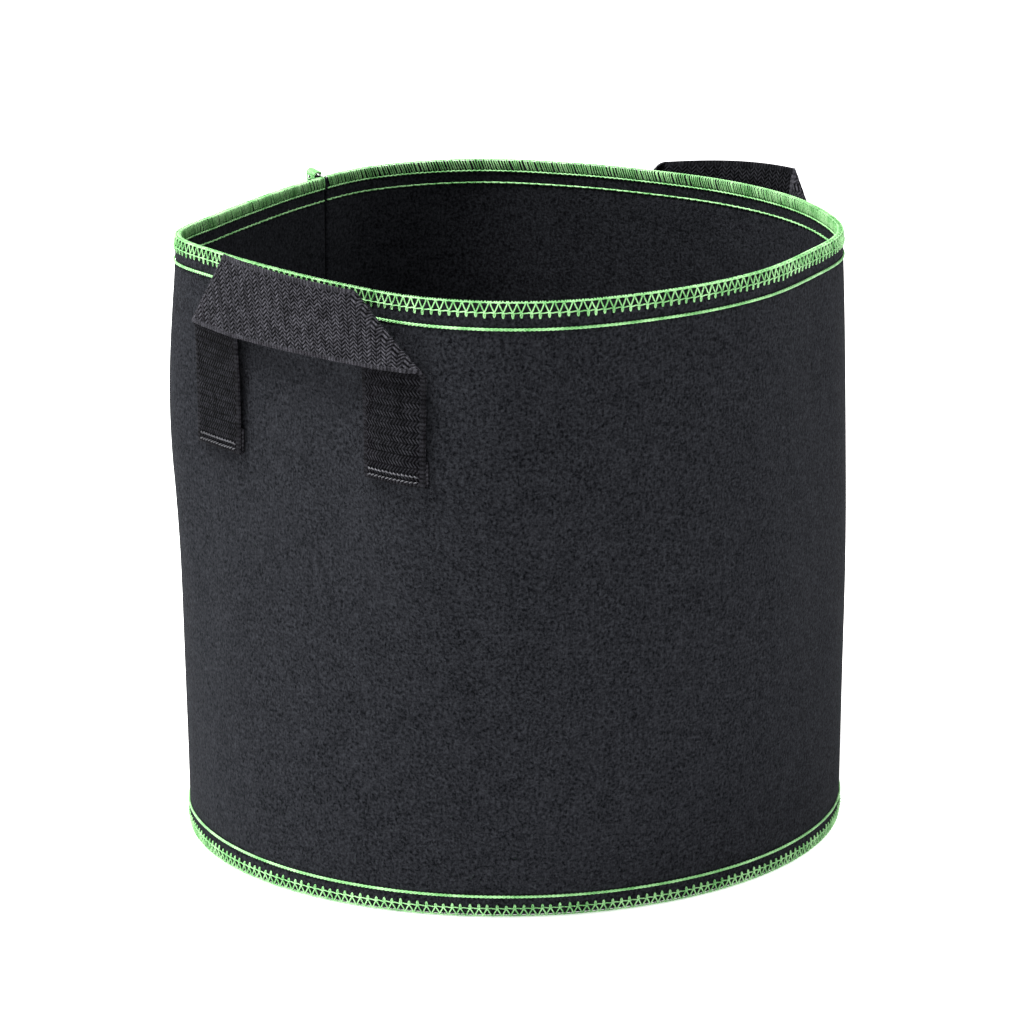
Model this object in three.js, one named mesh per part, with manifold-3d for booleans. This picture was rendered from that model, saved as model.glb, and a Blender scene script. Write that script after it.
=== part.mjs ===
// Fabric grow bag: a felt wall and base sewn with overlocked seams, and two folded webbing handles.
// Millimetres, +Z up. The bag stands on Z = 0, its front handle faces -Y and its side seam is near -X.
import * as THREE from "three";
import { mergeVertices } from "three/addons/utils/BufferGeometryUtils.js";
import Module from "manifold-3d";

const wasm = await Module();
wasm.setup();

// ---- Driving dimensions -------------------------------------------------------------------------
const bag_radius = 152; // outside of the wall at the floor, where it is round
const bag_height = 278; // floor to the felt's top edge
const felt_thickness = 2;
const air_gap = 0.3; // left between pieces that the thread pulls together
const seam_allowance = 10.5; // felt beyond a chain-stitched line

// The open rim is not round: it settles flat at the handles and bowed between them, and the wall
// below it eases back to a circle at the floor. These are the rim's radii as shares of the floor's,
// at even steps of azimuth from the front.
const rim_shares = [
  0.909, 0.962, 1.068, 1.128, 1.097, 1.054, 1.009, 1.011, 0.968, 0.941,
  0.929, 0.936, 0.99, 1.063, 1.047, 0.941, 0.886, 0.902, 0.978, 0.921,
];
const rim_hold = 2.2; // how far down the wall the rim's shape carries
const wall_bulge = 2.5; // how far the wall swells half-way up
// The front handle's stiff webbing holds the wall flat, so it bows out beside the legs.
const leg_bows = [[-33, 4.2, 17], [40, 8.5, 15]]; // azimuth, how far out, and how wide in degrees
const leg_bow_height = 205;
const leg_bow_reach = 58; // up and down from that height

const thread_size = 0.7;
const overlock_bite = 5.5; // how far the overlock reaches in from an edge
const chain_width = 1;
const seam_azimuth = -96; // degrees round from the front handle, positive towards +X

const webbing_width = 33;
const webbing_thickness = 1.5;
const leg_spacing = 121.4; // between the centre lines of one handle's two legs
const leg_reach = 84; // from the rim down to the lower end of a leg
const hem_height = 15; // the leg's end, turned under and sewn to the wall
const fold_radius = 1.8; // of the webbing's middle, where it folds over at a corner
const front_handle_shift = 25.9; // sideways from the bag's middle, along the wall
const rear_handle_shift = 5.9;
const handle_lean = 6.8; // how far the loop leans out from the wall at the rim
// The loops stand up a little crooked and bowed: how far their ends and middles rise above the rim.
const front_rise = { left: 6.7, middle: 3.4, right: 3 };
const rear_rise = { left: 9, middle: 7, right: -1 };
// The front legs are sewn down at different heights.
const front_ends = { left: -2, right: 4.5 };
const rear_ends = { left: 0, right: 0 };

const wall_sides = 96; // flats round the bag

// ---- Materials ----------------------------------------------------------------------------------
const materials = {
  felt: { color: 0x24262a, roughness: 0.97, metalness: 0 },
  green_thread: { color: 0x4fd65a, roughness: 0.55, metalness: 0 },
  webbing: { color: 0x1b1c1f, roughness: 0.85, metalness: 0 },
  grey_thread: { color: 0x9a9ca0, roughness: 0.6, metalness: 0 },
};

const bag = new THREE.Group();

// ---- Shaping helpers ----------------------------------------------------------------------------
const radians = THREE.MathUtils.degToRad;

// How far the wall stands outside its true circle, at an azimuth and a height.
function settle(azimuth, height) {
  const rise = THREE.MathUtils.clamp(height / bag_height, 0, 1);
  const count = rim_shares.length;
  const turn = THREE.MathUtils.euclideanModulo(azimuth, 2 * Math.PI);
  const place = (turn / (2 * Math.PI)) * count;
  const share = (i) => rim_shares[THREE.MathUtils.euclideanModulo(Math.floor(place) + i, count)];
  const [a, b, c, d] = [share(-1), share(0), share(1), share(2)];
  const t = place - Math.floor(place);
  const curve = b + 0.5 * t * (c - a + t * (2 * a - 5 * b + 4 * c - d + t * (3 * b - a - 3 * c + d)));
  const held = 1 - (1 - rise) ** rim_hold;
  let bow = 0;
  for (const [middle, out, wide] of leg_bows) {
    const round = THREE.MathUtils.euclideanModulo(azimuth - radians(middle) + Math.PI, 2 * Math.PI) - Math.PI;
    bow += out * Math.exp(-((round / radians(wide)) ** 2));
  }
  bow *= Math.exp(-(((height - leg_bow_height) / leg_bow_reach) ** 2));
  return bag_radius * (curve - 1) * held + wall_bulge * Math.sin(Math.PI * rise) + bow;
}

// A place round the bag: an azimuth, out from the wall's outer face, and up.
function placeOnBag(azimuth, out, height) {
  const hold = THREE.MathUtils.clamp((bag_radius + out) / (bag_radius - 20), 0, 1);
  const radius = bag_radius + out + hold * settle(azimuth, height);
  return [radius * Math.sin(azimuth), -radius * Math.cos(azimuth), height];
}

// A place on a patch of wall that faces one azimuth: along it, straight out of it, and up.
function placeOnPatch(facing, along, out, height) {
  let azimuth = facing;
  for (let i = 0; i < 6; i++) {
    azimuth = facing + Math.asin(along / (bag_radius + settle(azimuth, height)));
  }
  const [x, y] = placeOnBag(azimuth, 0, height);
  return [x + out * Math.sin(facing), y - out * Math.cos(facing), height];
}

// Moves every corner of a closed geometry, and keeps its faces pointing out.
function shaped(geometry, move) {
  const bare = geometry.clone();
  bare.deleteAttribute("normal");
  bare.deleteAttribute("uv");
  const merged = mergeVertices(bare, 1e-4);
  const corners = merged.attributes.position;
  for (let i = 0; i < corners.count; i++) {
    corners.setXYZ(i, ...move(corners.getX(i), corners.getY(i), corners.getZ(i)));
  }
  const faces = merged.index.array;
  const at = (i) => new THREE.Vector3().fromBufferAttribute(corners, i);
  let volume = 0;
  for (let i = 0; i < faces.length; i += 3) {
    volume += at(faces[i]).dot(at(faces[i + 1]).cross(at(faces[i + 2])));
  }
  if (volume < 0) {
    for (let i = 0; i < faces.length; i += 3) {
      [faces[i + 1], faces[i + 2]] = [faces[i + 2], faces[i + 1]];
    }
  }
  return merged;
}

function toSolid(geometry) {
  const vertProperties = Float32Array.from(geometry.attributes.position.array);
  const triVerts = Uint32Array.from(geometry.index.array);
  return new wasm.Manifold(new wasm.Mesh({ numProp: 3, vertProperties, triVerts }));
}

function toGeometry(solid) {
  const mesh = solid.getMesh();
  const geometry = new THREE.BufferGeometry();
  geometry.setAttribute("position", new THREE.BufferAttribute(mesh.vertProperties, 3));
  geometry.setIndex(new THREE.BufferAttribute(mesh.triVerts, 1));
  return geometry;
}

function addPiece(name, geometry, material) {
  const flat = geometry.toNonIndexed();
  flat.computeVertexNormals();
  const mesh = new THREE.Mesh(flat, new THREE.MeshStandardMaterial(materials[material]));
  mesh.name = name;
  bag.add(mesh);
}

function outline(points) {
  return new THREE.Shape(points.map(([x, y]) => new THREE.Vector2(x, y)));
}

// A length of felt or thread sewn round the bag: its section is drawn as [out, height] corners, and
// it runs from one azimuth to the other. A full turn is closed on itself.
function roundStrip(section, from, to) {
  const full = to - from > 359.99;
  if (full) {
    const points = [...section, section[0]].map(([out, height]) =>
      new THREE.Vector2(bag_radius + out, height));
    const ring = new THREE.LatheGeometry(points, wall_sides);
    return shaped(ring, (x, y, z) => {
      const azimuth = Math.atan2(x, z);
      return placeOnBag(azimuth, Math.hypot(x, z) - bag_radius, y);
    });
  }
  const steps = Math.round((wall_sides * (to - from)) / 360);
  const strip = new THREE.ExtrudeGeometry(outline(section), { depth: 1, steps, bevelEnabled: false });
  return shaped(strip, (out, height, part) =>
    placeOnBag(radians(from + part * (to - from)), out, height));
}

// The overlock's section: thread on both faces of a felt edge, and over the edge itself.
// The felt runs between the outs inner and outer, and way is +1 for an upper edge, -1 for a lower.
function overlockSection(inner, outer, edge, way) {
  const low = edge - way * overlock_bite;
  const skin = edge + way * air_gap;
  const top = skin + way * thread_size;
  return [
    [outer + air_gap, low], [outer + air_gap + thread_size, low],
    [outer + air_gap + thread_size, top], [inner - air_gap - thread_size, top],
    [inner - air_gap - thread_size, low], [inner - air_gap, low],
    [inner - air_gap, skin], [outer + air_gap, skin],
  ];
}

// A chain-stitched line's section on one face of the felt: side is +1 outside and -1 inside.
function chainSection(face, height, side) {
  const near = face + side * air_gap;
  const far = near + side * thread_size;
  return [
    [near, height - chain_width / 2], [far, height - chain_width / 2],
    [far, height + chain_width / 2], [near, height + chain_width / 2],
  ];
}

// ---- Heights of the seams -----------------------------------------------------------------------
const felt_bottom = thread_size + air_gap; // the overlock under the edge meets the floor
const base_seam_height = felt_bottom + seam_allowance - 1.5;
const base_underside = base_seam_height + chain_width;
const base_top = base_underside + felt_thickness;
const flange_bottom = base_top + 2; // the side seam's flange runs out above the base seam
const flange_full = flange_bottom + 10;
const margin_out = -felt_thickness - air_gap; // outer face of the base's turned-down margin

// ---- Side wall: one strip of felt, both ends turned out into the side seam's flange ----------------
const ply_near = air_gap / 2;
const ply_far = ply_near + felt_thickness;

function sideWall() {
  const seam = radians(seam_azimuth);
  const arc = (out, slip) => {
    // slip is half the angle left at the seam, so the wall's faces meet the flange's two plies
    const points = [];
    for (let i = 0; i <= wall_sides; i++) {
      points.push([out, slip + (i / wall_sides) * (2 * Math.PI - 2 * slip)]);
    }
    return points;
  };
  // Corners as [out, angle past the seam]: the inner face, then the far flange, outer face, near flange.
  const inner = arc(-felt_thickness, ply_near / (bag_radius - felt_thickness));
  const outer = arc(0, ply_far / bag_radius).reverse();
  const tip = bag_radius + seam_allowance;
  const corners = [
    ...inner,
    [seam_allowance, 2 * Math.PI - ply_near / tip],
    [seam_allowance, 2 * Math.PI - ply_far / tip],
    ...outer,
    [seam_allowance, ply_far / tip],
    [seam_allowance, ply_near / tip],
  ];
  const shape = outline(corners.map(([out, angle]) => [
    (bag_radius + out) * Math.sin(angle), -(bag_radius + out) * Math.cos(angle)]));
  const levels = [felt_bottom, flange_bottom];
  for (let i = 0; i <= 10; i++) {
    // the levels close up towards the rim, where the seam threads follow the wall
    levels.push(flange_full + (1 - (1 - i / 10) ** 1.5) * (bag_height - flange_full));
  }
  const steps = levels.length - 1;
  const wall = new THREE.ExtrudeGeometry(shape, { depth: steps, steps, bevelEnabled: false });
  return shaped(wall, (x, y, z) => {
    const height = levels[Math.round(z)];
    let out = Math.hypot(x, y) - bag_radius;
    if (out > 1 && height <= flange_bottom) out = 0.1;
    return placeOnBag(seam + Math.atan2(x, -y), out, height);
  });
}
addPiece("side_wall", sideWall(), "felt");

// ---- Base: a felt disc with its margin turned down inside the wall -----------------------------------
function baseDisc() {
  const margin_inner = bag_radius + margin_out - felt_thickness;
  const margin_outer = bag_radius + margin_out;
  const profile = [
    [0, base_underside], [bag_radius * 0.5, base_underside], [margin_inner, base_underside],
    [margin_inner, felt_bottom], [margin_outer, felt_bottom], [margin_outer, base_top],
    [bag_radius * 0.5, base_top], [0, base_top],
  ].map(([radius, height]) => new THREE.Vector2(radius, height));
  return shaped(new THREE.LatheGeometry(profile, wall_sides), (x, y, z) =>
    placeOnBag(Math.atan2(x, z), Math.hypot(x, z) - bag_radius, y));
}
addPiece("base_disc", baseDisc(), "felt");

// ---- Green seam threads round the bag ---------------------------------------------------------------
const seam_half_angle = THREE.MathUtils.radToDeg((ply_far + 1.5 * air_gap) / bag_radius);
const ring_from = seam_azimuth + seam_half_angle;
const ring_to = seam_azimuth + 360 - seam_half_angle;
const rim_seam_height = bag_height - seam_allowance;

addPiece("rim_overlock_thread",
  roundStrip(overlockSection(-felt_thickness, 0, bag_height, 1), ring_from, ring_to), "green_thread");
addPiece("rim_chain_looper_thread",
  roundStrip(chainSection(0, rim_seam_height, 1), ring_from, ring_to), "green_thread");
addPiece("rim_chain_needle_thread",
  roundStrip(chainSection(-felt_thickness, rim_seam_height, -1), ring_from, ring_to), "green_thread");

const margin_face = margin_out - felt_thickness;
addPiece("base_overlock_thread",
  roundStrip(overlockSection(margin_face, 0, felt_bottom, -1), 0, 360), "green_thread");
addPiece("base_chain_looper_thread",
  roundStrip(chainSection(0, base_seam_height, 1), 0, 360), "green_thread");
addPiece("base_chain_needle_thread",
  roundStrip(chainSection(margin_face, base_seam_height, -1), 0, 360), "green_thread");

// ---- Side seam threads, up the flange -----------------------------------------------------------------
// A plan section drawn as [across the flange, out from the wall], extruded up the seam.
function seamStrip(section, low, high) {
  const steps = 10;
  const strip = new THREE.ExtrudeGeometry(outline(section), { depth: 1, steps, bevelEnabled: false });
  return shaped(strip, (across, out, part) => {
    const height = low + part * (high - low);
    const radius = bag_radius + out;
    return placeOnBag(radians(seam_azimuth) + across / radius, out, height);
  });
}
const flange_edge = seam_allowance;
const overlock_far = ply_far + air_gap + thread_size;
const flange_overlock = seamStrip([
  [-overlock_far, flange_edge - overlock_bite], [-overlock_far, flange_edge + air_gap + thread_size],
  [overlock_far, flange_edge + air_gap + thread_size], [overlock_far, flange_edge - overlock_bite],
  [ply_far + air_gap, flange_edge - overlock_bite], [ply_far + air_gap, flange_edge + air_gap],
  [-ply_far - air_gap, flange_edge + air_gap], [-ply_far - air_gap, flange_edge - overlock_bite],
], flange_full + 1, bag_height + 1);
// The thread's tail is turned back over the top of the flange as a small nub.
const seam_nub = seamStrip([
  [-overlock_far, flange_edge - overlock_bite], [-overlock_far, flange_edge + air_gap + thread_size],
  [overlock_far, flange_edge + air_gap + thread_size], [overlock_far, flange_edge - overlock_bite],
], bag_height + air_gap, bag_height + 3.5);
addPiece("side_seam_overlock_thread",
  toGeometry(toSolid(flange_overlock).add(toSolid(seam_nub))), "green_thread");

for (const [name, side] of [["looper", 1], ["needle", -1]]) {
  const near = side * (ply_far + air_gap);
  const far = side * (ply_far + air_gap + thread_size);
  const rib = seamStrip([
    [near, 1.6], [far, 1.6], [far, 1.6 + chain_width], [near, 1.6 + chain_width],
  ], flange_full + 1, bag_height - 1);
  addPiece(`side_seam_chain_${name}_thread`, rib, "green_thread");
}

// ---- Handles --------------------------------------------------------------------------------------------
// A handle is one length of webbing: up one leg, folded over at 45 degrees, across, and down again.
const leg_out = air_gap + webbing_thickness + air_gap + webbing_thickness / 2; // middle of a free leg
const half_span = leg_spacing / 2;

function handle(name, facing, shift, rise, ends) {
  const place = (along, out, height) => placeOnPatch(facing, shift + along, out, height);
  const loop_height = bag_height - webbing_width / 2; // middle of the loop's webbing
  const hem_bottom = bag_height - leg_reach;
  const hinge_height = hem_bottom + hem_height;
  const half_length = half_span + loop_height - hinge_height - air_gap / 2;

  // How far a leg is sewn above or below the usual height, eased from one leg to the other.
  function uneven(along) {
    const part = THREE.MathUtils.clamp(along / (half_span - webbing_width / 2), -1, 1);
    return (ends.left + ends.right) / 2 + ((ends.right - ends.left) / 2) * part;
  }

  // Where a point of the flat webbing goes: along it from the middle, up across it, and off its middle.
  function fold(along, across, off) {
    const side = along < 0 ? -1 : 1;
    const fold_start = half_span - (Math.PI * fold_radius) / Math.SQRT2;
    const past = (Math.abs(along) - fold_start + across) / Math.SQRT2;
    let u = Math.abs(along);
    let v = loop_height + across;
    let out = 2 * fold_radius + off;
    if (past > 0) {
      u -= past / Math.SQRT2;
      v -= past / Math.SQRT2;
      const turn = Math.min(past / fold_radius, Math.PI);
      const beyond = Math.max(past - Math.PI * fold_radius, 0);
      const swing = (fold_radius + off) * Math.sin(turn) - beyond;
      u += swing / Math.SQRT2;
      v += swing / Math.SQRT2;
      out = fold_radius + (fold_radius + off) * Math.cos(turn);
    }
    const climb = Math.max((v - hinge_height) / (bag_height - hinge_height), 0);
    const straight = (rise.left + rise.right) / 2 + ((rise.right - rise.left) / 2) * ((side * u) / half_span);
    const bow = (rise.middle - (rise.left + rise.right) / 2) * (1 - (u / half_span) ** 2);
    const sewn = uneven(side * u) * (1 - Math.min(climb, 1));
    const height = v + (straight + bow) * climb + sewn;
    return place(side * u, leg_out + out + handle_lean * climb ** 1.5, height);
  }

  // The webbing's cross lines slant with the fold, so that the fold's edge is straight.
  const fold_start = half_span - (Math.PI * fold_radius) / Math.SQRT2;
  const fold_end = fold_start + Math.SQRT2 * Math.PI * fold_radius;
  const lines = []; // [along, slant]
  for (let i = 0; i < 6; i++) lines.push([(fold_start * i) / 6, i / 6]);
  for (let i = 0; i < 6; i++) lines.push([fold_start + ((fold_end - fold_start) * i) / 6, 1]);
  for (let i = 0; i <= 6; i++) lines.push([fold_end + ((half_length - fold_end) * i) / 6, 1 - i / 6]);
  const count = lines.length - 1;

  const half_width = webbing_width / 2;
  const half_thick = webbing_thickness / 2;
  const section = [];
  for (let i = 0; i <= 5; i++) section.push([-half_width + (i / 5) * webbing_width, -half_thick]);
  for (let i = 5; i >= 0; i--) section.push([-half_width + (i / 5) * webbing_width, half_thick]);
  const strip = new THREE.ExtrudeGeometry(outline(section),
    { depth: 2 * count, steps: 2 * count, bevelEnabled: false });
  const strap = shaped(strip, (across, off, z) => {
    const index = Math.round(z) - count;
    const [along, slant] = lines[Math.abs(index)];
    return fold(Math.sign(index) * (along - slant * across), across, off);
  });
  addPiece(`${name}_strap`, strap, "webbing");

  // Each leg's end is turned under, so it lies double against the wall.
  const inner_near = air_gap;
  const inner_far = air_gap + webbing_thickness;
  const outer_near = inner_far + air_gap;
  const outer_far = outer_near + webbing_thickness;
  const hem_top = hinge_height - air_gap / 2;
  const middle = (inner_near + outer_far) / 2;
  const hem_section = [[outer_near, hem_top], [outer_far, hem_top]];
  const roll = (outer_far - inner_near) / 2;
  const slot = air_gap / 2;
  for (let i = 0; i <= 6; i++) {
    const turn = (i / 6) * Math.PI;
    hem_section.push([middle + roll * Math.cos(turn), hem_bottom + roll - roll * Math.sin(turn)]);
  }
  hem_section.push([inner_near, hem_top - 1.5], [inner_far, hem_top - 1.5]);
  for (let i = 3; i >= 0; i--) {
    const turn = (i / 3) * Math.PI;
    hem_section.push([middle + slot * Math.cos(turn), hem_bottom + roll - slot * Math.sin(turn)]);
  }
  for (const [label, side] of [["left", -1], ["right", 1]]) {
    const hem = new THREE.ExtrudeGeometry(outline(hem_section), { depth: 1, steps: 5, bevelEnabled: false });
    const sewn = uneven(side * half_span);
    addPiece(`${name}_${label}_sewn_end`, shaped(hem, (out, height, part) =>
      place(side * half_span + (part - 0.5) * webbing_width, out, height + sewn)), "webbing");

    // The stitching goes round the sewn end as one closed line of thread.
    const line = thread_size + 0.1;
    const wide = webbing_width / 2 - 2;
    const low = hem_bottom + roll + 0.5;
    const high = hem_top - 2;
    const bar = (from, to, bottom, top, proud) => {
      const near = outer_far + air_gap / 2 - proud;
      const far = outer_far + air_gap / 2 + 0.5 + proud;
      const section = [[near, bottom], [far, bottom], [far, top], [near, top]];
      const steps = Math.ceil((to - from) / 6);
      const straight = new THREE.ExtrudeGeometry(outline(section), { depth: 1, steps, bevelEnabled: false });
      return toSolid(shaped(straight, (out, height, part) =>
        place(side * half_span + from + part * (to - from), out, height + sewn)));
    };
    const stitching = bar(-wide, wide, low, low + line, 0).add(bar(-wide, wide, high - line, high, 0))
      .add(bar(-wide - 0.1, line - wide, low - 0.1, high + 0.1, 0.07))
      .add(bar(wide - line, wide + 0.1, low - 0.1, high + 0.1, 0.07));
    addPiece(`${name}_${label}_stitching`, toGeometry(stitching), "grey_thread");
  }
}

handle("front", 0, front_handle_shift, front_rise, front_ends);
handle("rear", Math.PI, rear_handle_shift, rear_rise, rear_ends);

// ---- Stand the bag on the origin, centred on its own extents ----------------------------------------------
const extents = new THREE.Box3().setFromObject(bag);
const centre = extents.getCenter(new THREE.Vector3());
bag.position.set(-centre.x, -centre.y, -extents.min.z);

const grow_bag = new THREE.Group();
grow_bag.add(bag);
export default grow_bag;
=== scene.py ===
# Fabric grow bag: the looks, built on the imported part's frame.
import bmesh, bpy, math
import numpy as np
from mathutils import Vector, Matrix


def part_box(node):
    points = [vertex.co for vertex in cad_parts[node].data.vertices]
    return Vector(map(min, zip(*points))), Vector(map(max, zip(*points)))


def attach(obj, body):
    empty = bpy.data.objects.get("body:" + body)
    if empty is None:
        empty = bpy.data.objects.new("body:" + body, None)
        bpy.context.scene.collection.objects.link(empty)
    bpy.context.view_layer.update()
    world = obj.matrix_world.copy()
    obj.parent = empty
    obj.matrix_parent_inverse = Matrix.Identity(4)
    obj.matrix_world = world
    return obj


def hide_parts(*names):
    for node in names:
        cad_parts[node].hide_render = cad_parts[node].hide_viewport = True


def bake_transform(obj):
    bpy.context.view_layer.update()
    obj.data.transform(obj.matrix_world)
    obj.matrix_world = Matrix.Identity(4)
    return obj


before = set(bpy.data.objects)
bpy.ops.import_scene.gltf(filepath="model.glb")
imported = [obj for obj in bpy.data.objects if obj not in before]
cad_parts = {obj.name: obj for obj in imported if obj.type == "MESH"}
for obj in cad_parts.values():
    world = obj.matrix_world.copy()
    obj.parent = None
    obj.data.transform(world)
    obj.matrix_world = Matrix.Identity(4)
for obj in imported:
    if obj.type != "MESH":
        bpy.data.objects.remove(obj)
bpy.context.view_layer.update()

rng = np.random.default_rng(7)
MM = 0.001
TURN = 2 * np.pi

# ---------------------------------------------------------------- the part's own dimensions, in millimetres
R, H = 152.0, 278.0  # the wall's outer radius at the floor, and its height
FELT, GAP = 2.0, 0.3  # the felt's thickness, and the gap between neighbours
ALLOW = 10.5  # the side seam's allowance, and the rim's depth down to its chain stitch
# how far out the rim is at twenty azimuths, as shares of the radius
SHARES = np.array([0.909, 0.962, 1.068, 1.128, 1.097, 1.054, 1.009, 1.011, 0.968, 0.941,
                   0.929, 0.936, 0.99, 1.063, 1.047, 0.941, 0.886, 0.902, 0.978, 0.921])
HOLD, BULGE = 2.2, 2.5  # how slowly the base's round gives way, and how far the middle swells
BOWS = ((-33, 4.2, 17), (40, 8.5, 15))  # azimuth, how far out, how wide in degrees
BOW_HEIGHT, BOW_REACH = 205, 58.0
SEAM = math.radians(-96)
WEB, WEB_T = 33.0, 1.5  # the webbing's width and thickness
SPAN, REACH, HEM = 60.7, 84.0, 15.0  # half the legs' spacing, the handle's drop, the sewn end's height
FOLD, LEAN = 1.8, 6.8  # the corner fold's radius, and how far the loop leans out
SHIFT = {"front": 25.9, "rear": 5.9}
RISE = {"front": (6.7, 3.4, 3.0), "rear": (9, 7, -1)}  # left end, middle, right end
ENDS = {"front": (-2.0, 4.5), "rear": (0.0, 0.0)}
FELT_BOTTOM = 1.0
BASE_SEAM = 10.0
BASE_UNDER, BASE_TOP = 11.0, 13.0
MARGIN = 2 * FELT + GAP  # two layers of felt
PITCH = 3.92  # one stitch

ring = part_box("base_overlock_thread")
OX = (ring[0][0] + ring[1][0]) / 2 / MM
OY = (ring[0][1] + ring[1][1]) / 2 / MM


def floats(*values):
    return np.broadcast_arrays(*(np.asarray(v, float) for v in values))


def settle(phi, z):
    """How far the wall stands out of its round, in millimetres."""
    phi, z = floats(phi, z)
    s = np.clip(z / H, 0, 1)
    n = len(SHARES)
    x = np.mod(phi, 2 * np.pi) / (2 * np.pi) * n
    i = np.floor(x).astype(int)
    t = x - i
    a, b, c, d = (SHARES[(i + k) % n] for k in (-1, 0, 1, 2))
    curve = b + 0.5 * t * (c - a + t * (2 * a - 5 * b + 4 * c - d + t * (3 * b - a - 3 * c + d)))
    bow = sum(out * np.exp(-((np.mod(phi - math.radians(mid) + np.pi, TURN) - np.pi)
                             / math.radians(wide)) ** 2) for mid, out, wide in BOWS)
    bow = bow * np.exp(-((z - BOW_HEIGHT) / BOW_REACH) ** 2)
    return R * (curve - 1) * (1 - (1 - s) ** HOLD) + BULGE * np.sin(np.pi * s) + bow


def on_bag(phi, out, z):
    """Azimuth, out from the wall's outer face, and height, as a place in millimetres."""
    phi, out, z = floats(phi, out, z)
    hold = np.clip((R + out) / (R - 20), 0, 1)
    r = R + out + hold * settle(phi, z)
    return np.stack([r * np.sin(phi) + OX, -r * np.cos(phi) + OY, z], -1)


def on_patch(facing, along, out, z):
    """A place beside the wall, measured straight across from the azimuth that a handle faces."""
    along, out, z = floats(along, out, z)
    phi = np.full(along.shape, float(facing))
    for _ in range(7):
        phi = facing + np.arcsin(np.clip(along / (R + settle(phi, z)), -0.999, 0.999))
    p = on_bag(phi, 0 * out, z)
    p[..., 0] += out * math.sin(facing)
    p[..., 1] -= out * math.cos(facing)
    return p


def around(level):
    """Total length round the wall at a height, and a map from length (past the seam) to azimuth."""
    phi = np.linspace(SEAM, SEAM + 2 * np.pi, 2881)
    p = on_bag(phi, 0, level)
    run = np.concatenate([[0], np.cumsum(np.linalg.norm(np.diff(p, axis=0), axis=1))])
    return run[-1], lambda s: np.interp(s, run, phi)


# ---------------------------------------------------------------- mesh helpers
def fix_normals(ob):
    bm = bmesh.new(); bm.from_mesh(ob.data)
    bmesh.ops.recalc_face_normals(bm, faces=bm.faces)
    bm.to_mesh(ob.data); bm.free()


def make_mesh(name, verts, groups, material, attrs=None):
    """One smooth mesh from places in millimetres; groups are face arrays, each of one corner count."""
    verts = np.asarray(verts, float).reshape(-1, 3) * MM
    corners = np.concatenate([g.ravel() for g in groups]).astype(np.int32)
    total = np.concatenate([np.full(len(g), g.shape[1]) for g in groups]).astype(np.int32)
    start = np.concatenate([[0], np.cumsum(total)[:-1]]).astype(np.int32)
    me = bpy.data.meshes.new(name)
    me.vertices.add(len(verts))
    me.vertices.foreach_set("co", verts.ravel())
    me.loops.add(len(corners))
    me.loops.foreach_set("vertex_index", corners)
    me.polygons.add(len(total))
    me.polygons.foreach_set("loop_start", start)
    me.polygons.foreach_set("loop_total", total)
    me.update(calc_edges=True)
    me.polygons.foreach_set("use_smooth", np.full(len(total), True))
    for key, values in (attrs or {}).items():
        me.attributes.new(key, "FLOAT", "POINT").data.foreach_set(
            "value", np.asarray(values, np.float32).ravel())
    me.validate()
    me.materials.append(material)
    ob = bpy.data.objects.new(name, me)
    bpy.context.scene.collection.objects.link(ob)
    return ob


def grid_faces(n, m, wrap_n=False, wrap_m=False):
    i = np.arange(n if wrap_n else n - 1)
    j = np.arange(m if wrap_m else m - 1)
    a, b = np.meshgrid(i, j, indexing="ij")
    a2, b2 = (a + 1) % n, (b + 1) % m
    return np.stack([a * m + b, a2 * m + b, a2 * m + b2, a * m + b2], -1).reshape(-1, 4)


def end_caps(n, m, flip_last):
    """Quads across the first and last of n closed loops of m points, paired inwards from the ends."""
    caps = []
    for row, flip in ((0, False), (n - 1, flip_last)):
        idx = row * m + np.arange(m)
        a, b = 0, m - 1
        while b - a > 1:
            q = [idx[a], idx[a + 1], idx[b - 1], idx[b]]
            caps.append(q[::-1] if flip else q)
            a, b = a + 1, b - 1
    return np.array([c for c in caps if len(set(c)) == 4])


def tube(path, radius, sides, closed):
    """A round thread along a path of places, narrowed at open ends."""
    path = np.asarray(path, float)
    n = len(path)
    if closed:
        tan = np.roll(path, -1, 0) - np.roll(path, 1, 0)
    else:
        tan = np.gradient(path, axis=0)
    tan /= np.linalg.norm(tan, axis=1)[:, None] + 1e-12
    nor = np.empty_like(path)
    first = np.cross(tan[0], [0.31, 0.17, 0.93])
    nor[0] = first / np.linalg.norm(first)
    for k in range(1, n):
        v = nor[k - 1] - tan[k] * (nor[k - 1] @ tan[k])
        nor[k] = v / (np.linalg.norm(v) + 1e-12)
    ang = np.linspace(0, 2 * np.pi, sides, endpoint=False)[None, :] + np.zeros((n, 1))
    if closed:
        v = nor[-1] - tan[0] * (nor[-1] @ tan[0])
        off = math.atan2(np.cross(v, nor[0]) @ tan[0], v @ nor[0])
        ang = ang + np.linspace(0, off, n)[:, None]
    bi = np.cross(tan, nor)
    rad = np.full(ang.shape, radius)
    if not closed:
        taper = np.ones(n); taper[0] = taper[-1] = 0.55
        rad = rad * taper[:, None]
    v = path[:, None] + rad[..., None] * (np.cos(ang)[..., None] * nor[:, None]
                                          + np.sin(ang)[..., None] * bi[:, None])
    faces = grid_faces(n, sides, closed, True)
    v = v.reshape(-1, 3)
    if not closed:
        v = np.concatenate([v, path[:1], path[-1:]])
        a = np.arange(sides); b = (a + 1) % sides
        c0, c1 = n * sides, n * sides + 1
        last = (n - 1) * sides
        return v, faces, np.concatenate([np.stack([b, a, np.full(sides, c0)], 1),
                                         np.stack([last + a, last + b, np.full(sides, c1)], 1)])
    return v, faces, np.empty((0, 3), int)


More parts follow.
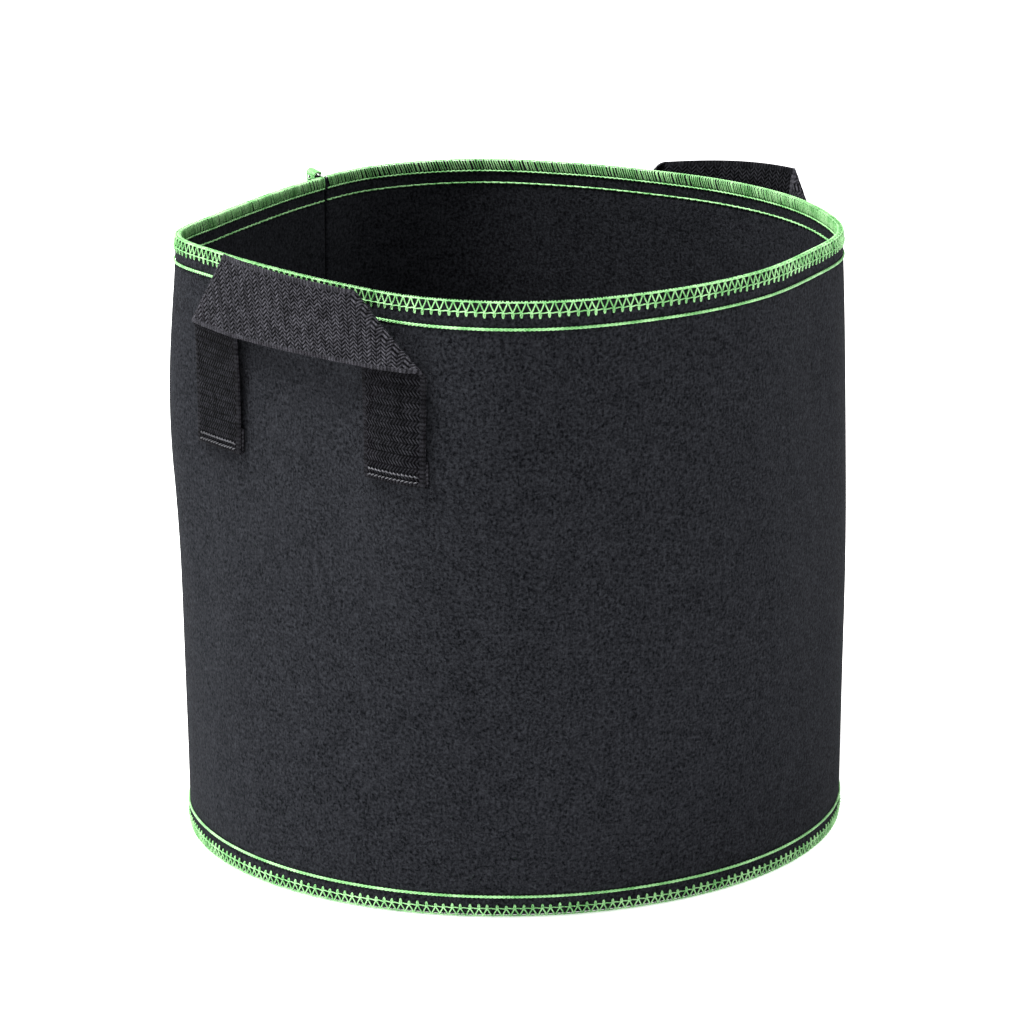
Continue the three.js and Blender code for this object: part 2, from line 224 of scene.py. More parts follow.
def threads(name, paths, material, sides=6):
    """paths: (points, radius, closed). One mesh for the whole thread."""
    vs, quads, tris, base = [], [], [], 0
    for points, radius, closed in paths:
        v, q, t = tube(points, radius, sides, closed)
        vs.append(v)
        quads.append(q + base)
        tris.append(t + base)
        base += len(v)
    ob = make_mesh(name, np.concatenate(vs), [np.concatenate(quads), np.concatenate(tris)], material)
    fix_normals(ob)
    return ob


# ---------------------------------------------------------------- materials
class Nodes:
    """Short hands for wiring one node material."""
    def __init__(self, name):
        self.mat = bpy.data.materials.new(name)
        self.mat.use_nodes = True
        self.nt = self.mat.node_tree
        self.nt.nodes.clear()
        self.out = self.nt.nodes.new("ShaderNodeOutputMaterial")
        self.bsdf = self.nt.nodes.new("ShaderNodeBsdfPrincipled")
        self.link(self.bsdf.outputs[0], self.out.inputs[0])
        self.obj = self.nt.nodes.new("ShaderNodeTexCoord").outputs["Object"]

    def link(self, a, b):
        self.nt.links.new(a, b)

    def put(self, socket, value):
        if hasattr(value, "is_output"):
            self.link(value, socket)
        else:
            socket.default_value = value

    def noise(self, scale, detail, rough, vector=None):
        n = self.nt.nodes.new("ShaderNodeTexNoise")
        n.inputs["Scale"].default_value = scale
        n.inputs["Detail"].default_value = detail
        n.inputs["Roughness"].default_value = rough
        self.link(vector or self.obj, n.inputs["Vector"])
        return n.outputs["Fac"]

    def stretch(self, scale, rotation):
        n = self.nt.nodes.new("ShaderNodeMapping")
        n.inputs["Scale"].default_value = scale
        n.inputs["Rotation"].default_value = rotation
        self.link(self.obj, n.inputs["Vector"])
        return n.outputs[0]

    def math(self, op, a, b=0.0, c=0.0):
        n = self.nt.nodes.new("ShaderNodeMath")
        n.operation = op
        for s, v in zip(n.inputs, (a, b, c)):
            self.put(s, v)
        return n.outputs[0]

    def ramp(self, value, lo, hi, to_lo=0.0, to_hi=1.0):
        n = self.nt.nodes.new("ShaderNodeMapRange")
        for s, v in zip(n.inputs, (value, lo, hi, to_lo, to_hi)):
            self.put(s, v)
        return n.outputs[0]

    def mix(self, t, a, b):
        n = self.nt.nodes.new("ShaderNodeMix")
        n.data_type = "RGBA"
        self.put(n.inputs[0], t)
        self.put(n.inputs[6], a)
        self.put(n.inputs[7], b)
        return n.outputs[2]

    def clamp(self, value):
        return self.math("MAXIMUM", self.math("MINIMUM", value, 1.0), 0.0)

    def attr(self, name):
        n = self.nt.nodes.new("ShaderNodeAttribute")
        n.attribute_name = name
        return n.outputs["Fac"]

    def bump(self, height, strength, distance, normal=None):
        n = self.nt.nodes.new("ShaderNodeBump")
        n.inputs["Strength"].default_value = strength
        n.inputs["Distance"].default_value = distance
        self.link(height, n.inputs["Height"])
        if normal is not None:
            self.link(normal, n.inputs["Normal"])
        return n.outputs[0]


def rgb(r, g, b):
    return (r, g, b, 1.0)


def felt_material():
    n = Nodes("needle_felt")
    # matted fibres lying every way: three stretched noises turned apart
    f1 = n.noise(900, 3, 0.6, n.stretch((1.0, 0.25, 1.0), (0.3, 0.2, 0.6)))
    f2 = n.noise(900, 3, 0.6, n.stretch((0.25, 1.0, 0.8), (0.9, 0.1, 0.2)))
    f3 = n.noise(1300, 2, 0.6, n.stretch((1.0, 1.0, 0.22), (0.1, 0.7, 0.3)))
    fibres = n.math("MAXIMUM", n.math("MAXIMUM", f1, f2), f3)
    flecks = n.noise(760, 3, 0.7)
    clumps = n.noise(95, 3, 0.6)
    tone = n.math("ADD", n.ramp(flecks, 0.36, 0.66, -0.55, 0.75),
                  n.ramp(fibres, 0.5, 0.75, -0.35, 0.55))
    tone = n.math("ADD", tone, n.ramp(clumps, 0.35, 0.65, -0.09, 0.09))
    tone = n.math("MULTIPLY_ADD", tone, 0.5, 0.42)
    color = n.mix(n.clamp(tone), rgb(0.0012, 0.0014, 0.0020), rgb(0.0262, 0.0276, 0.0325))
    n.link(color, n.bsdf.inputs["Base Color"])
    n.bsdf.inputs["Roughness"].default_value = 0.95
    n.bsdf.inputs["Specular IOR Level"].default_value = 0.02
    n.bsdf.inputs["Sheen Weight"].default_value = 0.012
    n.bsdf.inputs["Sheen Roughness"].default_value = 0.6
    n.bsdf.inputs["Sheen Tint"].default_value = rgb(0.85, 0.9, 1.0)
    height = n.math("ADD", fibres, n.math("MULTIPLY", flecks, 0.8))
    n.link(n.bump(height, 0.7, 0.0007, n.bump(clumps, 0.35, 0.0012)), n.bsdf.inputs["Normal"])
    return n.mat


def thread_material(name, dark, light, sheen):
    n = Nodes(name)
    strands = n.noise(2600, 2, 0.6)
    patches = n.noise(120, 2, 0.5)
    tone = n.math("ADD", n.ramp(strands, 0.35, 0.65, 0.0, 0.7),
                  n.ramp(patches, 0.35, 0.65, -0.15, 0.35))
    n.link(n.mix(n.clamp(tone), dark, light), n.bsdf.inputs["Base Color"])
    n.bsdf.inputs["Roughness"].default_value = 0.42
    n.bsdf.inputs["Specular IOR Level"].default_value = 0.4
    n.bsdf.inputs["Sheen Weight"].default_value = sheen
    n.bsdf.inputs["Sheen Roughness"].default_value = 0.4
    n.link(n.bump(strands, 0.4, 0.00015), n.bsdf.inputs["Normal"])
    return n.mat


def webbing_material():
    n = Nodes("herringbone_webbing")
    # the colour follows the stored weave height, darkest in the grooves and lightest on the floats: painted
    # shade in the grooves, laid over the real grooves of the mesh
    weave = n.attr("weave")
    fuzz = n.noise(1800, 3, 0.65)
    patches = n.noise(260, 2, 0.5)
    tone = n.math("ADD", n.math("MULTIPLY", weave, 0.85), n.ramp(fuzz, 0.35, 0.7, -0.16, 0.2))
    tone = n.math("ADD", tone, n.ramp(patches, 0.35, 0.65, -0.1, 0.12))
    tone = n.math("POWER", n.clamp(tone), 2.2)
    # two copies of one webbing colour: the face copy for the side that faces out on the loop, and a copy
    # about three times darker for the back, which faces out on the legs after the fold: painted shade on
    # the legs
    face = n.mix(tone, rgb(0.0006, 0.0006, 0.0009), rgb(0.105, 0.103, 0.120))
    back = n.mix(tone, rgb(0.0003, 0.0003, 0.0005), rgb(0.034, 0.034, 0.040))
    color = n.mix(n.attr("face"), back, face)
    n.link(color, n.bsdf.inputs["Base Color"])
    n.bsdf.inputs["Roughness"].default_value = 0.7
    n.bsdf.inputs["Specular IOR Level"].default_value = 0.02
    n.link(n.bump(fuzz, 0.4, 0.0003), n.bsdf.inputs["Normal"])
    return n.mat


FELT_MAT = felt_material()
GREEN = thread_material("green_thread", rgb(0.06, 0.29, 0.055), rgb(0.46, 0.82, 0.39), 0.05)
GREY = thread_material("grey_thread", rgb(0.018, 0.018, 0.022), rgb(0.075, 0.075, 0.086), 0.01)
WEBBING = webbing_material()


# ---------------------------------------------------------------- felt
def smooth(x, a, b):
    t = np.clip((x - a) / (b - a), 0, 1)
    return t * t * (3 - 2 * t)


def ripple(phi, z):
    """The felt's own unevenness, in millimetres, pressed flat where the handles are sewn on."""
    beside = np.abs(np.mod(phi + np.pi / 2, np.pi) - np.pi / 2)  # from the nearer handle's middle
    pressed = (1 - smooth(beside, 0.75, 0.95)) * (1 - smooth(np.abs(z - 212), 34, 52))
    return (1 - pressed) * (0.45 * np.sin(3 * phi + 0.7 + z * 0.011) * np.sin(z * 0.017 + 1.1)
            + 0.28 * np.sin(7 * phi + z * 0.021) + 0.16 * np.sin(13 * phi - z * 0.034 + 2.0)
            + 0.12 * np.sin(23 * phi + z * 0.05))


def side_wall():
    bend = 0.7  # the inside radius where the wall turns out into the side seam's flange
    root = GAP / 2 + FELT / 2 + bend  # from the seam plane to where the bend starts
    nb, nf, na = 6, 9, 620
    # columns: far flange tip -> bend -> round the bag -> bend -> near flange tip
    cols = []
    for f in np.linspace(1, 0.05, nf):
        cols.append(("flange", 1, f))
    for a in np.linspace(np.pi / 2, 0, nb, endpoint=False):
        cols.append(("bend", 1, a))
    for f in np.linspace(0, 1, na):
        cols.append(("round", 0, f))
    for a in np.linspace(0, np.pi / 2, nb + 1)[1:]:
        cols.append(("bend", -1, a))
    for f in np.linspace(0.05, 1, nf):
        cols.append(("flange", -1, f))
    half = FELT / 2
    # rows: up the outer face, over the rounded top, down the inner face, under the bottom
    zo = np.concatenate([np.linspace(FELT_BOTTOM + half, 16, 14), np.linspace(16, H - 16, 72)[1:],
                         np.linspace(H - 16, H - half, 18)[1:]])
    zi = np.concatenate([np.linspace(H - half, H - 16, 14), np.linspace(H - 16, 16, 46)[1:],
                         np.linspace(16, FELT_BOTTOM + half, 8)[1:]])
    turn = np.linspace(0, np.pi, 6)[1:-1]
    rows = ([(z, half) for z in zo] + [(H - half + half * math.sin(t), half * math.cos(t)) for t in turn]
            + [(z, -half) for z in zi]
            + [(FELT_BOTTOM + half - half * math.sin(t), -half * math.cos(t)) for t in turn])
    z = np.array([r[0] for r in rows]); side = np.array([r[1] for r in rows])
    # pressed in along the stitched lines
    press = np.zeros_like(z)
    for line, depth, wide in ((H - ALLOW - 0.4, 0.45, 1.1), (BASE_SEAM, 0.4, 1.1)):
        press += depth * np.exp(-((z - line) / wide) ** 2)
    press += 0.35 * smooth(z, H - 7, H - 0.5)
    off = side - np.sign(side) * np.minimum(press, 0.6) * (np.abs(side) > 0.5)
    verts = np.empty((len(cols), len(rows), 3))
    length = ALLOW * smooth(z, 14, 24) + 0.4
    swell = np.sin(np.pi * np.clip(z / H, 0, 1)) ** 0.5  # the ripples die out at the rim and the floor
    for k, (kind, way, f) in enumerate(cols):
        if kind == "round":
            r0 = root / (R - half)
            phi = SEAM + r0 + f * (2 * np.pi - 2 * r0)
            verts[k] = on_bag(phi, off - half + ripple(phi, z) * swell, z)
        else:
            if kind == "bend":
                t = root - bend * math.sin(f); r = bend * (1 - math.cos(f))
                nt, nr = math.sin(f), math.cos(f)
            else:
                t = root - bend; r = bend + f * length
                nt, nr = 1.0, 0.0
            t_all = way * (t + nt * off)
            r_all = -half + r + nr * off
            phi = SEAM + t_all / R
            verts[k] = on_bag(phi, r_all + ripple(SEAM, z) * swell, z)
    n, m = verts.shape[:2]
    ob = make_mesh("felt_side_wall", verts,
                   [np.concatenate([grid_faces(n, m, False, True), end_caps(n, m, True)])], FELT_MAT)
    fix_normals(ob)
    return ob


def base():
    na = 360
    phi = np.linspace(0, TURN, na, endpoint=False)
    sag = lambda t: -2.2 * (1 - t ** 2) ** 2
    ro = R - FELT - GAP  # outer and inner face of the margin turned down inside the wall
    ri = ro - FELT
    loop = []
    for t in np.linspace(0.03, 0.985, 24):
        loop.append((t * ri, BASE_UNDER + sag(t)))
    loop += [(ri - 0.4, BASE_UNDER - 0.3), (ri, BASE_UNDER - 1.2), (ri, 6.0), (ri, FELT_BOTTOM + 0.8),
             (ri + 0.4, FELT_BOTTOM + 0.1), (ro - 0.4, FELT_BOTTOM + 0.1), (ro, FELT_BOTTOM + 0.8),
             (ro, 6.0), (ro, BASE_TOP - 1.6), (ro - 0.5, BASE_TOP - 0.4), (ro - 1.6, BASE_TOP)]
    for t in np.linspace(0.985, 0.03, 24):
        loop.append((t * (ro - 2.0), BASE_TOP + sag(t)))
    loop = np.array(loop)
    rr, zz = loop[:, 0][None], loop[:, 1][None]
    p = on_bag(phi[:, None], rr - R, zz + 0 * phi[:, None])
    p[..., 2] += (0.35 * np.sin(2 * phi[:, None] + rr * 0.05) * (rr < ri - 3)
                  + 0.25 * np.sin(5 * phi[:, None] - rr * 0.09) * (rr < ri - 3))
    n, m = p.shape[:2]
    faces = grid_faces(n, m, True, False)
    v = p.reshape(-1, 3)
    c0, c1 = v[0::m].mean(0), v[m - 1::m].mean(0)
    v = np.concatenate([v, [c0, c1]])
    i = np.arange(n); j = (i + 1) % n
    ob = make_mesh("felt_base", v, [faces], FELT_MAT)
    bm = bmesh.new(); bm.from_mesh(ob.data)
    bm.verts.ensure_lookup_table()
    for a, b in zip(i, j):
        for row, centre in ((0, n * m), (m - 1, n * m + 1)):
            corners = (int(a * m + row), int(b * m + row), centre)
            bm.faces.new([bm.verts[c] for c in corners]).smooth = True
    bmesh.ops.recalc_face_normals(bm, faces=bm.faces)
    bm.to_mesh(ob.data); bm.free()
    return ob


wall = side_wall()
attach(wall, "bag"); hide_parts("side_wall")
rim_length, rim_azimuth = around(H)
foot_length, foot_azimuth = around(FELT_BOTTOM)
floor_felt = base()
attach(floor_felt, "bag"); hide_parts("base_disc")


# ---------------------------------------------------------------- seams
FULL_BITE = 5.9  # how far in from the rim the overlock reaches
THIN, THICK = 0.30, 0.42  # thread radii


def wobble(n, size):
    return rng.normal(0, size, n)


def overlock(place, length, thick, lines_per=3, closed=False, bite=FULL_BITE, back=5.0):
    """Three threads over a felt edge. place(s, h, o): along, in from the edge (negative), off the face."""
    n = max(int(round(length / PITCH)), 2)
    p = length / n
    centres = (np.arange(n) + 0.5) * p + wobble(n, 0.05 * p)
    tip = bite + wobble(n, 0.2)
    pts = []
    # one loop over the edge: along in stitches, in from the edge, off the face; the three points at
    # its tip (-0.97, -1.0) are shares of the bite instead
    shape = [(-0.5, 0.36, -0.6), (-0.45, 0.1, 0.26), (-0.36, -0.9, 0.36), (-0.2, -2.3, 0.42),
             (-0.05, -3.5, 0.46), (0.05, -4.0, 0.46), (0.1, -4.8, 0.42), (0.05, -0.97, 0.36),
             (0.0, -1.0, 0.3), (-0.05, -0.97, 0.36), (-0.1, -4.8, 0.5), (-0.05, -4.0, 0.66),
             (0.05, -3.5, 0.6), (0.2, -2.3, 0.46), (0.36, -0.9, 0.38), (0.45, 0.1, 0.26),
             (0.5, 0.36, -0.6)]
    scale = bite / FULL_BITE
    for c, t in zip(centres, tip):
        for ds, h, o in shape:
            hh = h * t if h in (-0.97, -1.0) else h * scale
            pts.append((c + ds * p, hh, o))
    pts = np.array(pts)
    # smooth the corners a little
    pts = np.repeat(pts, 2, 0)
    pts[1:-1:2] = (pts[0:-2:2] + pts[2::2]) / 2
    upper = [(place(pts[:, 0], pts[:, 1], pts[:, 2]), THIN, closed)]
    # needle line on the outer face, over the arms
    s = np.linspace(0, length, n * 8 + 1)
    if closed:
        s = s[:-1]
    near = np.abs((s / p) % 1 - 0.5)
    o = 0.36 + 0.62 * np.exp(-(near / 0.16) ** 2)
    h = -(bite * 0.67) + 0.12 * np.sin(2 * np.pi * s / p)
    needle = [(place(s, h, o), 0.27, closed)]
    # edge line
    o2 = 0.12 + 0.1 * np.sin(2 * np.pi * s / p + 1.0)
    edge = [(place(s, 0.3 + 0.08 * np.cos(4 * np.pi * s / p), o2), THIN, closed)]
    # back face: slanted floats and the line that ties them
    lines = []
    m = n * lines_per
    at = (np.arange(m) + 0.5) * length / m + wobble(m, 0.13 * length / m)
    slant = 1.8 + wobble(m, 0.25)
    for a, sl in zip(at, slant):
        a2 = a if closed else min(max(a, 0.3), length - 0.3)
        u = np.array([0.0, 0.0, 0.03, 0.35, 0.7, 1.0])
        hh = np.array([0.42, 0.36, -0.2, -0.36 * back, -0.7 * back, -back + wobble(1, 0.12)[0]])
        oo = np.array([-0.5, -thick - 0.05, -thick - 0.36, -thick - 0.42, -thick - 0.40, -thick - 0.2])
        ss = a2 - sl * u
        if not closed:
            ss = np.clip(ss, 0.1, length - 0.1)
        lines.append((place(ss, hh, oo), 0.29 + wobble(1, 0.02)[0], False))
    o3 = -thick - 0.42 - 0.14 * np.cos(4 * np.pi * s / p)
    tie = [(place(s, -back + 0.16 * np.sin(2 * np.pi * s / p * 1.5), o3), 0.36, closed)]
    return upper + needle + edge + lines + tie


def chain(place, length, o, way, closed=False):
    """Looper side of a chain stitch: two strands crossing once a stitch."""
    n = max(int(round(length / PITCH)), 2)
    p = length / n
    s = np.linspace(0, length, n * 12 + 1)
    if closed:
        s = s[:-1]
    t = 2 * np.pi * s / p
    paths = []
    for ph in (0, np.pi):
        h = 0.30 * np.sin(t + ph)
        oo = o + way * (0.34 + 0.14 * np.cos(t + ph))
        paths.append((place(s, h, oo), 0.37, closed))
    return paths


def needle_chain(place, length, o, way, closed=False):
    """Needle side: one dash a stitch, sinking into the felt between."""
    n = max(int(round(length / PITCH)), 2)
    p = length / n
    s = np.linspace(0, length, n * 10 + 1)
    if closed:
        s = s[:-1]
    f = (s / p) % 1
    rise = np.sin(np.pi * f) ** 0.45
    oo = o + way * (-0.75 + 1.15 * rise)
    return [(place(s, 0.05 * np.sin(s * 0.9), oo), THICK, closed)]


half_gap = 1.3  # from the side seam's plane to the rim's first stitch
span = rim_length - 2 * half_gap


def rim(s, h, o):
    return on_bag(rim_azimuth(np.asarray(s) + half_gap), o, H + np.asarray(h))


def rim_line(s, h, o):
    return on_bag(rim_azimuth(np.asarray(s) + half_gap), o, H - ALLOW - 0.4 + np.asarray(h))


def foot(s, h, o):
    return on_bag(foot_azimuth(np.mod(np.asarray(s), foot_length)), o, FELT_BOTTOM - np.asarray(h))


def foot_line(s, h, o):
    return on_bag(foot_azimuth(np.mod(np.asarray(s), foot_length)), o, BASE_SEAM + np.asarray(h))


def finish_piece(ob, node, body="bag"):
    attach(ob, body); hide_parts(node)
    return ob


def sew(name, node, paths, sides):
    finish_piece(threads(name, paths, GREEN, sides), node)


sew("rim_overlock_stitches", "rim_overlock_thread", overlock(rim, span, FELT), 6)
sew("rim_chain_looper_stitches", "rim_chain_looper_thread", chain(rim_line, span, 0, 1), 7)
sew("rim_chain_needle_stitches", "rim_chain_needle_thread", needle_chain(rim_line, span, -FELT, -1), 7)
sew("base_overlock_stitches", "base_overlock_thread",
    overlock(foot, foot_length, MARGIN, 2, True, 5.0, 4.6), 6)
sew("base_chain_looper_stitches", "base_chain_looper_thread",
    chain(foot_line, foot_length, 0, 1, True), 7)
sew("base_chain_needle_stitches", "base_chain_needle_thread",
    needle_chain(foot_line, foot_length, -MARGIN, -1, True), 7)

# side seam, up the flange
SEAM_LOW = 25.0
seam_run = H + 1.5 - SEAM_LOW


def flange(s, h, o):
    """s up the seam, h in from the flange's edge, o off its right-hand face."""
    s, h, o = floats(s, h, o)
    across = GAP / 2 + FELT + o
    out = ALLOW + 0.4 + h
    return on_bag(SEAM + across / (R + out), out, SEAM_LOW + s)


def flange_line(s, h, o):
    s, h, o = floats(s, h, o)
    across = GAP / 2 + FELT + o
    return on_bag(SEAM + across / R, 2.6 + h, SEAM_LOW + s)


seam_paths = overlock(flange, seam_run, MARGIN, 2)
# the thread's tail, looped back over the top of the flange
tail = []
for k in range(11):
    c = ALLOW + 0.7 - 0.62 * k
    a = np.linspace(0, np.pi, 9)
    across = 2.5 * np.cos(a)
    zz = H + 0.3 + 2.5 * np.sin(a) ** 0.6 * (1 - 0.04 * k)
    tail.append((on_bag(SEAM + across / R, c + 0.25 * np.sin(a * 2), zz), THICK, False))
sew("side_seam_overlock_stitches", "side_seam_overlock_thread", seam_paths + tail, 6)
sew("side_seam_chain_looper_stitches", "side_seam_chain_looper_thread",
    chain(flange_line, seam_run - 4, 0, 1), 7)
sew("side_seam_chain_needle_stitches", "side_seam_chain_needle_thread",
    needle_chain(flange_line, seam_run - 4, -MARGIN, -1), 7)


# ---------------------------------------------------------------- handles
LEG_OUT = GAP + WEB_T + GAP + WEB_T / 2  # from the wall to the middle of the webbing on a leg
LOOP_Z = H - WEB / 2
HEM_Z = H - REACH
HINGE_Z = HEM_Z + HEM
TURN_IN = GAP / 2 + WEB_T / 2  # the radius at which a sewn end turns under
ROLL = (2 * WEB_T + GAP) / 2


def uneven(which, along):
    left, right = ENDS[which]
    return (left + right) / 2 + (right - left) / 2 * np.clip(along / (SPAN - WEB / 2), -1, 1)


def strap_point(which, along, across, off):
    """A point of the flat webbing (along from its middle, across, off its middle) folded onto the bag."""
    facing = 0.0 if which == "front" else math.pi
    left, middle, right = RISE[which]
    along, across, off = floats(along, across, off)
    side = np.where(along < 0, -1.0, 1.0)
    start = SPAN - math.pi * FOLD / math.sqrt(2)
    a = np.abs(along)
    past = np.maximum((a - start + across) / math.sqrt(2), 0)
    turn = np.minimum(past / FOLD, np.pi)
    beyond = np.maximum(past - np.pi * FOLD, 0)
    swing = (FOLD + off) * np.sin(turn) - beyond
    live = past > 0
    u = a - np.where(live, past / math.sqrt(2) - swing / math.sqrt(2), 0)
    v = LOOP_Z + across - np.where(live, past / math.sqrt(2) - swing / math.sqrt(2), 0)
    out = np.where(live, FOLD + (FOLD + off) * np.cos(turn), 2 * FOLD + off)
    # at the foot of the sewn end the webbing rolls under and comes back up against the wall
    low = HEM_Z + ROLL
    down = low - v
    r0 = TURN_IN
    ang = np.clip(down / r0, 0, np.pi)
    rolled = down > 0
    back = np.maximum(down - np.pi * r0, 0)
    centre = LEG_OUT - r0
    rr = r0 - off
    v = np.where(rolled, low - rr * np.sin(ang) + back, v)
    out = np.where(rolled, centre + rr * np.cos(ang) - LEG_OUT, out)
    climb = np.maximum((v - HINGE_Z) / (H - HINGE_Z), 0)
    straight = (left + right) / 2 + (right - left) / 2 * (side * u) / SPAN
    bow = (middle - (left + right) / 2) * (1 - (u / SPAN) ** 2)
    ends = uneven(which, side * u) * (1 - np.minimum(climb, 1))
    z = v + (straight + bow) * climb + ends
    return on_patch(facing, SHIFT[which] + side * u, LEG_OUT + out + LEAN * climb ** 1.5, z)


def herringbone(along, across):
    """Height of the weave, 0 in the grooves to 1 on the floats."""
    period, row = 5.2, 1.75
    zig = np.abs(((along / period) % 1) * 2 - 1)  # 0..1..0
    wave = across / row + zig * 1.25
    f = np.abs(((wave) % 1) * 2 - 1)
    ridge = np.clip(1.25 - 1.6 * f ** 1.4, 0, 1)
    # the floats are broken where the stripes meet
    stripe = np.abs(((along / period * 2) % 1) * 2 - 1)
    broken = 1 - 0.65 * np.clip((stripe - 0.72) / 0.28, 0, 1) ** 1.3
    strand = 0.5 + 0.5 * np.cos(2 * np.pi * (along / (period / 6)))
    h = ridge * broken * (0.75 + 0.25 * strand)
    edge = np.clip((np.abs(across) - (WEB / 2 - 2.0)) / 0.4, 0, 1)
    loops = 0.3 + 0.42 * np.abs(np.sin(np.pi * along / 1.9))
    return h * (1 - edge) + loops * edge


def strap(which):
    half_length = SPAN + (LOOP_Z - HEM_Z)
    hem_back = 10.0  # how far the turned-under end reaches back up
    r0 = TURN_IN
    extra = math.pi * r0 - ROLL + hem_back
    total = half_length + extra
    start = SPAN - math.pi * FOLD / math.sqrt(2)
    end = start + math.sqrt(2) * math.pi * FOLD
    step = 0.42
    def lines(a, b, s0, s1, d):
        k = max(int((b - a) / d), 2)
        t = np.linspace(0, 1, k + 1)
        return np.stack([a + (b - a) * t, s0 + (s1 - s0) * t], 1)
    hinge_along = SPAN + (LOOP_Z - HINGE_Z)
    seg = np.concatenate([lines(0, start, 0, 1, step)[:-1], lines(start, end, 1, 1, 0.35)[:-1],
                          lines(end, hinge_along, 1, 0, step)[:-1], lines(hinge_along, total, 0, 0, 0.4)])
    seg = np.concatenate([np.stack([-seg[::-1, 0], seg[::-1, 1]], 1)[:-1], seg])
    nw = 76
    x = np.linspace(-WEB / 2, WEB / 2, nw)
    half = WEB_T / 2
    edge_turn = np.linspace(0, np.pi, 5)[1:-1]
    ring_x = np.concatenate([x, WEB / 2 + 0.35 * np.sin(edge_turn), x[::-1],
                             -WEB / 2 - 0.35 * np.sin(edge_turn)])
    ring_o = np.concatenate([np.full(nw, half), half * np.cos(edge_turn), np.full(nw, -half),
                             -half * np.cos(edge_turn)])
    # the rows turn with the 45 degree fold, so that they lie along it there
    al = np.abs(seg[:, 0])[:, None] - seg[:, 1][:, None] * ring_x[None]
    al = np.sign(seg[:, 0])[:, None] * al
    al = np.where(seg[:, 0][:, None] == 0, 0, al)
    ac = np.broadcast_to(ring_x[None], al.shape)
    w = herringbone(al, ac)
    relief = 0.5  # how deep the weave's grooves are, as a share of half the thickness
    on_face = np.abs(ring_o[None]) > half * 0.9
    off = np.broadcast_to(ring_o[None], al.shape) * (1 - relief * (1 - w) * on_face)
    p = strap_point(which, al, ac, off)
    n, m = p.shape[:2]
    # the stored weave height paints shade into the colour's grooves, and the face attribute picks the lit
    # copy for the side out on the loop and the darker copy, painted shade, for the side out on the legs
    ob = make_mesh(f"{which}_webbing_handle", p,
                   [np.concatenate([grid_faces(n, m, False, True), end_caps(n, m, False)])], WEBBING,
                   attrs={"weave": w, "face": np.broadcast_to((ring_o > 0) * 1.0, al.shape)})
    fix_normals(ob)
    return ob, 2 * total


def hem_stitches(which, side):
    facing = 0.0 if which == "front" else math.pi
    outer = 2 * GAP + 2 * WEB_T
    pitch, width = 2.15, WEB - 5
    paths = []
    for h0, tilt, shift in ((2.6, 0.45, 0.0), (5.2, -0.45, 0.9)):  # two rows: height, slant, offset
        n = int(width / pitch)
        for k in range(n):
            c = -width / 2 + (k + 0.5) * pitch + shift * 0.3 + rng.normal(0, 0.08)
            t = np.linspace(-0.5, 0.5, 7)
            al = side * SPAN + c + t * pitch * 0.86
            z = HEM_Z + h0 + tilt * t * 1.5 + rng.normal(0, 0.05) + uneven(which, side * SPAN)
            o = outer - 0.35 + 0.75 * np.sin(np.pi * (t + 0.5)) ** 0.5
            paths.append((on_patch(facing, SHIFT[which] + al, o, z), THIN, False))
    label = "left" if side < 0 else "right"
    ob = threads(f"{which}_{label}_hem_stitches", paths, GREY, 6)
    return finish_piece(ob, f"{which}_{label}_stitching")


for which in ("front", "rear"):
    ob, length = strap(which)
    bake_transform(ob)
    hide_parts(f"{which}_strap", f"{which}_left_sewn_end", f"{which}_right_sewn_end")
    for side in (-1, 1):
        hem_stitches(which, side)


# ---------------------------------------------------------------- stage, light and camera
CAMERA_AZ, CAMERA_EL, CAMERA_ROLL = 48, 15.14, 0.86  # degrees
PICTURE = 1020


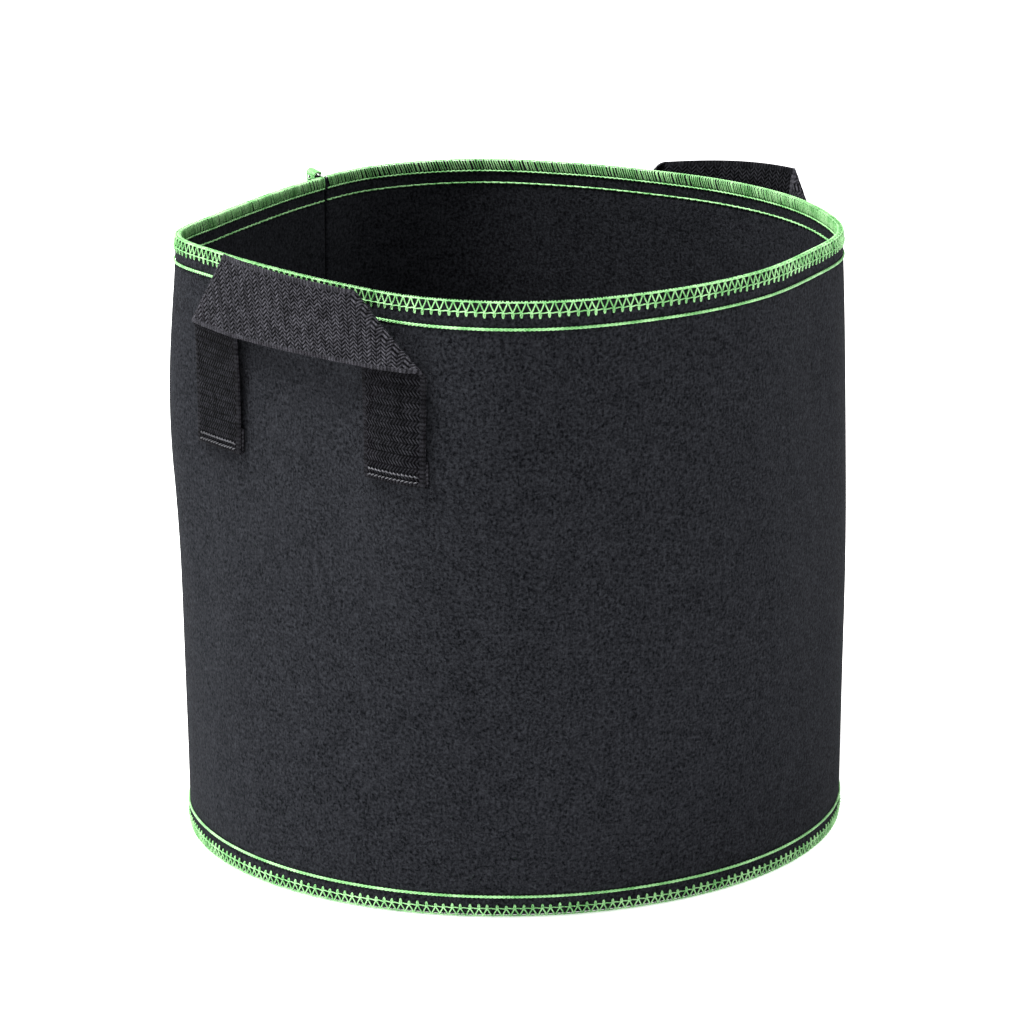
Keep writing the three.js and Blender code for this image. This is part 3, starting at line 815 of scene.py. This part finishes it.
def studio():
    scene = bpy.context.scene
    scene.view_settings.view_transform = "Standard"
    scene.view_settings.look = "None"
    scene.view_settings.exposure = 0
    me = bpy.data.meshes.new("floor")
    s, z = 30.0, -0.0002
    me.from_pydata([(-s, -s, z), (s, -s, z), (s, s, z), (-s, s, z)], [], [(0, 1, 2, 3)])
    fl = bpy.data.objects.new("studio_floor", me)
    scene.collection.objects.link(fl)
    m = bpy.data.materials.new("studio_floor"); m.use_nodes = True
    b = m.node_tree.nodes["Principled BSDF"]
    b.inputs["Base Color"].default_value = (0.93, 0.93, 0.93, 1)
    b.inputs["Roughness"].default_value = 0.9
    b.inputs["Specular IOR Level"].default_value = 0.1
    b.inputs["Emission Color"].default_value = (1, 1, 1, 1)
    b.inputs["Emission Strength"].default_value = 0.6
    me.materials.append(m)
    w = bpy.data.worlds.new("studio"); scene.world = w; w.use_nodes = True
    w.node_tree.nodes["Background"].inputs[0].default_value = (1, 1, 1, 1)
    # the backdrop is white, as the floor is, and gives the object 0.6 of that as light
    rays = w.node_tree.nodes.new("ShaderNodeLightPath")
    seen = w.node_tree.nodes.new("ShaderNodeMapRange")
    seen.inputs["To Min"].default_value, seen.inputs["To Max"].default_value = 0.6, 1.0
    w.node_tree.links.new(rays.outputs["Is Camera Ray"], seen.inputs["Value"])
    w.node_tree.links.new(seen.outputs[0], w.node_tree.nodes["Background"].inputs[1])

    def area(name, az, el, dist, size, power):
        li = bpy.data.lights.new(name, "AREA"); li.shape = "RECTANGLE"
        li.size, li.size_y = size; li.energy = power
        ob = bpy.data.objects.new(name, li); scene.collection.objects.link(ob)
        a, e = math.radians(az), math.radians(el)
        middle = 0.14
        pos = Vector((dist * math.cos(e) * math.sin(a), -dist * math.cos(e) * math.cos(a),
                      dist * math.sin(e) + middle))
        ob.location = pos
        ob.rotation_euler = (Vector((0, 0, middle)) - pos).to_track_quat("-Z", "Y").to_euler()
    area("key", CAMERA_AZ - 88, 62, 2.2, (0.9, 1.0), 120)
    area("edge", CAMERA_AZ + 105, 30, 2.4, (0.5, 1.3), 12)
    area("fill", CAMERA_AZ + 50, 66, 2.2, (0.9, 0.9), 11)


def camera():
    reach = 2000 * (H / 278.9)  # from the camera to the bag's middle, in millimetres
    dist = reach * MM
    el, az, roll = (math.radians(v) for v in (CAMERA_EL, CAMERA_AZ, CAMERA_ROLL))
    cam = bpy.data.cameras.new("camera"); ob = bpy.data.objects.new("camera", cam)
    bpy.context.scene.collection.objects.link(ob)
    cam.sensor_width = 36; cam.lens = 2.163 * reach / PICTURE * 36
    cam.shift_x = 0.1 / PICTURE; cam.shift_y = 8.9 / PICTURE
    target = Vector((OX * MM, OY * MM, H / 2 * MM))
    pos = target + Vector((dist * math.cos(el) * math.sin(az), -dist * math.cos(el) * math.cos(az),
                           dist * math.sin(el)))
    rot = (target - pos).to_track_quat("-Z", "Y").to_matrix().to_4x4()
    ob.matrix_world = Matrix.Translation(pos) @ rot @ Matrix.Rotation(-roll, 4, "Z")
    cam.clip_end = 100
    bpy.context.scene.camera = ob


studio()
camera()
